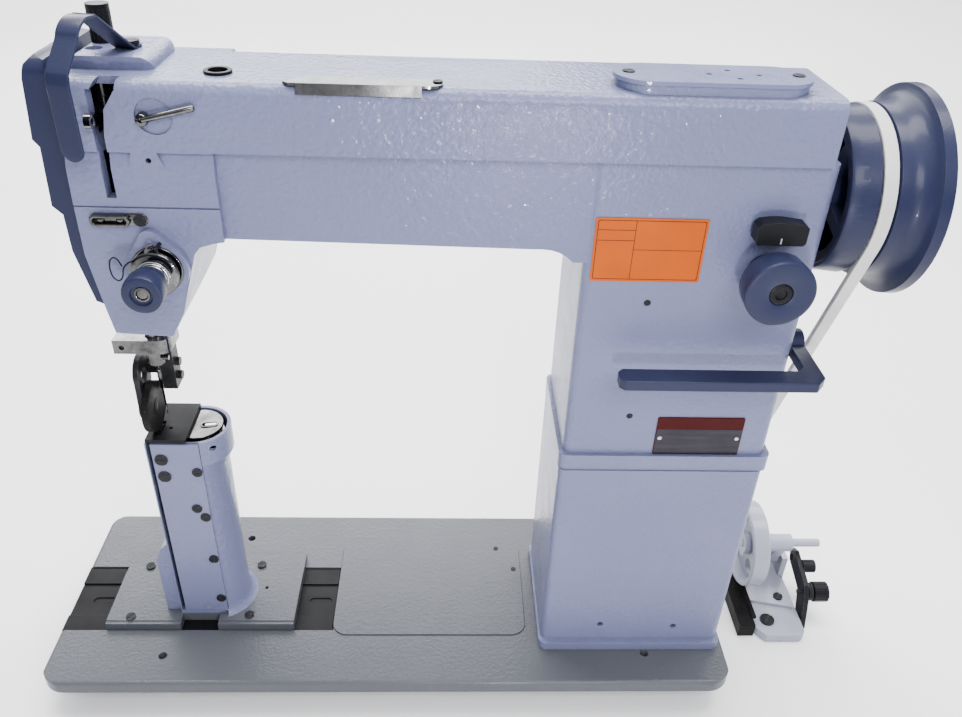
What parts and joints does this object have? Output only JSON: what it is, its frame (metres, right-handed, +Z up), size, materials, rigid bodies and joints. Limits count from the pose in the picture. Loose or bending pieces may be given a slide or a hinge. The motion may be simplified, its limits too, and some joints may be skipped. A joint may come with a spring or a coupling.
{
  "type": "post-bed leather sewing machine",
  "caption": "Single-needle post-bed sewing machine for leather: roller foot, wheel feed, rotary hook in a tall post, boxed column, arm, handwheel with belt and a bobbin winder.",
  "frame": {"origin": "centre of the bed's footprint on its resting plane", "axes": "+X along the bed from the needle post to the column and handwheel, +Y away from the operator, +Z up"},
  "size_m": [0.625, 0.2386, 0.4922],
  "materials": {
    "white_paint": "pale grey-white hammer-textured enamel on cast iron",
    "blue_grey_paint": "blue-grey semi-gloss enamel",
    "black_oxide": "blackened steel",
    "dark_steel": "dark oiled steel",
    "bright_chrome": "polished chrome plate",
    "ground_steel": "ground steel",
    "bronze": "sintered bronze",
    "black_rubber": "black rubber",
    "belt_fabric": "off-white woven cotton belt jacket",
    "black_plastic": "moulded black plastic",
    "orange_label": "printed film",
    "red_plate": "enamelled aluminium plate"
  },
  "bodies": {
    "machine_frame": {"bed_plate": "white_paint", "bed_panel": "white_paint", "channel_rail": "dark_steel", "post_base": "white_paint", "post_body": "white_paint", "post_cover": "white_paint", "needle_plate": "dark_steel", "riser_box": "white_paint", "arm_casting": "white_paint", "face_cover": "blue_grey_paint", "column_rear_cover": "white_paint", "top_cover": "white_paint", "black_screws": "black_oxide", "oil_cap": "dark_steel", "top_strip": "ground_steel", "front_label": "orange_label", "data_plate": "red_plate", "thread_guides": "bright_chrome", "take_up_guard": "blue_grey_paint", "tension_post": "bright_chrome", "tension_discs": "bright_chrome", "bushings": "bronze", "v_belt": "belt_fabric", "timing_belt": "black_rubber", "feed_belt": "black_rubber", "presser_spring": "ground_steel", "bobbin_case": "bright_chrome", "winder_base": "white_paint", "winder_rest": "black_rubber", "winder_bracket": "black_oxide"},
    "drive_shaft": {"main_shaft": "ground_steel", "handwheel": "blue_grey_paint", "crank_disc": "ground_steel", "upper_pulley": "dark_steel"},
    "link_part": {"needle_link": "ground_steel"},
    "needle_part": {"needle_bar": "ground_steel", "needle_clamp": "bright_chrome", "needle": "ground_steel"},
    "take_up_part": {"take_up_lever": "bright_chrome"},
    "presser_part": {"presser_bar": "ground_steel", "presser_bracket": "bright_chrome", "roller_holder": "black_oxide"},
    "roller_part": {"roller_foot": "black_rubber"},
    "pressure_part": {"pressure_knob": "black_plastic"},
    "lifter_part": {"lifter_lever": "bright_chrome"},
    "tension_part": {"tension_knob": "blue_grey_paint"},
    "check_part": {"check_spring": "bright_chrome"},
    "lower_part": {"lower_shaft": "ground_steel"},
    "hook_part": {"post_shaft": "ground_steel", "rotary_hook": "ground_steel"},
    "bobbin_part": {"bobbin": "ground_steel"},
    "feed_roll_part": {"feed_wheel": "dark_steel"},
    "feed_idler_part": {"feed_idler": "dark_steel"},
    "feed_shaft_part": {"feed_shaft": "ground_steel"},
    "dial_part": {"stitch_dial": "blue_grey_paint"},
    "button_part": {"push_button": "black_plastic"},
    "reverse_part": {"reverse_lever": "blue_grey_paint"},
    "winder_swing_part": {"winder_frame": "white_paint"},
    "winder_wheel_part": {"winder_wheel": "white_paint"},
    "winder_knob_part": {"winder_knob": "black_plastic"}
  },
  "joints": [
    {"name": "handwheel_turn", "type": "hinge", "parent": "machine_frame", "child": "drive_shaft", "pos_m": [0.041, -0.0141, 0.3994], "axis": [1, 0, 0], "continuous": true},
    {"name": "needle_link_swing", "type": "hinge", "parent": "drive_shaft", "child": "link_part", "pos_m": [-0.1465, -0.0141, 0.4154], "axis": [1, 0, 0], "continuous": true},
    {"name": "needle_bar_slide", "type": "slide", "parent": "machine_frame", "child": "needle_part", "axis": [0, 0, 1], "range_m": [-0.032, 0]},
    {"name": "take_up_swing", "type": "hinge", "parent": "machine_frame", "child": "take_up_part", "pos_m": [-0.1435, -0.022, 0.436], "axis": [1, 0, 0], "range_deg": [-8, 46]},
    {"name": "presser_lift", "type": "slide", "parent": "machine_frame", "child": "presser_part", "axis": [0, 0, 1], "range_m": [0, 0.008], "stiffness_N_per_m": 2500, "springref_m": -0.008, "deforming": ["presser_spring"]},
    {"name": "roller_spin", "type": "hinge", "parent": "presser_part", "child": "roller_part", "pos_m": [-0.1616, -0.0141, 0.2322], "axis": [1, 0, 0], "continuous": true},
    {"name": "pressure_knob_turn", "type": "hinge", "parent": "machine_frame", "child": "pressure_part", "pos_m": [-0.1526, 0.0012, 0.474], "axis": [0, 0, 1], "range_deg": [-720, 720]},
    {"name": "lifter_swing", "type": "hinge", "parent": "machine_frame", "child": "lifter_part", "pos_m": [-0.125, 0.028, 0.352], "axis": [0, 1, 0], "range_deg": [0, 40]},
    {"name": "tension_knob_turn", "type": "hinge", "parent": "machine_frame", "child": "tension_part", "pos_m": [-0.1245, -0.08, 0.36], "axis": [0, 1, 0], "range_deg": [-720, 720]},
    {"name": "check_spring_swing", "type": "hinge", "parent": "machine_frame", "child": "check_part", "pos_m": [-0.1245, -0.06, 0.36], "axis": [0, 1, 0], "range_deg": [-12, 30], "stiffness_Nm_per_rad": 0.02},
    {"name": "lower_shaft_turn", "type": "hinge", "parent": "machine_frame", "child": "lower_part", "pos_m": [0.041, -0.0055, 0.017], "axis": [1, 0, 0], "continuous": true},
    {"name": "hook_turn", "type": "hinge", "parent": "machine_frame", "child": "hook_part", "pos_m": [-0.136, -0.0055, 0.194], "axis": [0, 0, 1], "continuous": true},
    {"name": "bobbin_spin", "type": "hinge", "parent": "machine_frame", "child": "bobbin_part", "pos_m": [-0.136, -0.0055, 0.2], "axis": [0, 0, 1], "continuous": true},
    {"name": "feed_wheel_turn", "type": "hinge", "parent": "machine_frame", "child": "feed_roll_part", "pos_m": [-0.1603, -0.0141, 0.2021], "axis": [1, 0, 0], "continuous": true},
    {"name": "feed_idler_turn", "type": "hinge", "parent": "machine_frame", "child": "feed_idler_part", "pos_m": [-0.1603, -0.0141, 0.1777], "axis": [1, 0, 0], "continuous": true},
    {"name": "feed_shaft_turn", "type": "hinge", "parent": "machine_frame", "child": "feed_shaft_part", "pos_m": [-0.059, -0.0215, 0.017], "axis": [1, 0, 0], "continuous": true},
    {"name": "stitch_dial_turn", "type": "hinge", "parent": "machine_frame", "child": "dial_part", "pos_m": [0.222, -0.07, 0.363], "axis": [0, 1, 0], "range_deg": [-150, 150]},
    {"name": "push_button_press", "type": "slide", "parent": "machine_frame", "child": "button_part", "axis": [0, 1, 0], "range_m": [0, 0.004], "stiffness_N_per_m": 600, "springref_m": -0.002},
    {"name": "reverse_lever_press", "type": "hinge", "parent": "machine_frame", "child": "reverse_part", "pos_m": [0.259, -0.03, 0.301], "axis": [1, 0, 0], "range_deg": [0, 20], "stiffness_Nm_per_rad": 3, "springref_deg": -17.19},
    {"name": "winder_swing", "type": "hinge", "parent": "machine_frame", "child": "winder_swing_part", "pos_m": [0.331, 0.052, 0.024], "axis": [1, 0, 0], "range_deg": [-6, 6]},
    {"name": "winder_spin", "type": "hinge", "parent": "winder_swing_part", "child": "winder_wheel_part", "pos_m": [0.301, 0.035, 0.057], "axis": [1, 0, 0], "continuous": true},
    {"name": "winder_knob_turn", "type": "hinge", "parent": "machine_frame", "child": "winder_knob_part", "pos_m": [0.359, 0.006, 0.028], "axis": [1, 0, 0], "range_deg": [-720, 720]}
  ],
  "couplings": [
    {"joint": "needle_link_swing", "follows": "handwheel_turn", "ratio": -1},
    {"joint": "lower_shaft_turn", "follows": "handwheel_turn", "ratio": 1},
    {"joint": "hook_turn", "follows": "handwheel_turn", "ratio": -2},
    {"joint": "feed_wheel_turn", "follows": "feed_shaft_turn", "ratio": -1},
    {"joint": "feed_idler_turn", "follows": "feed_shaft_turn", "ratio": 1}
  ]
}
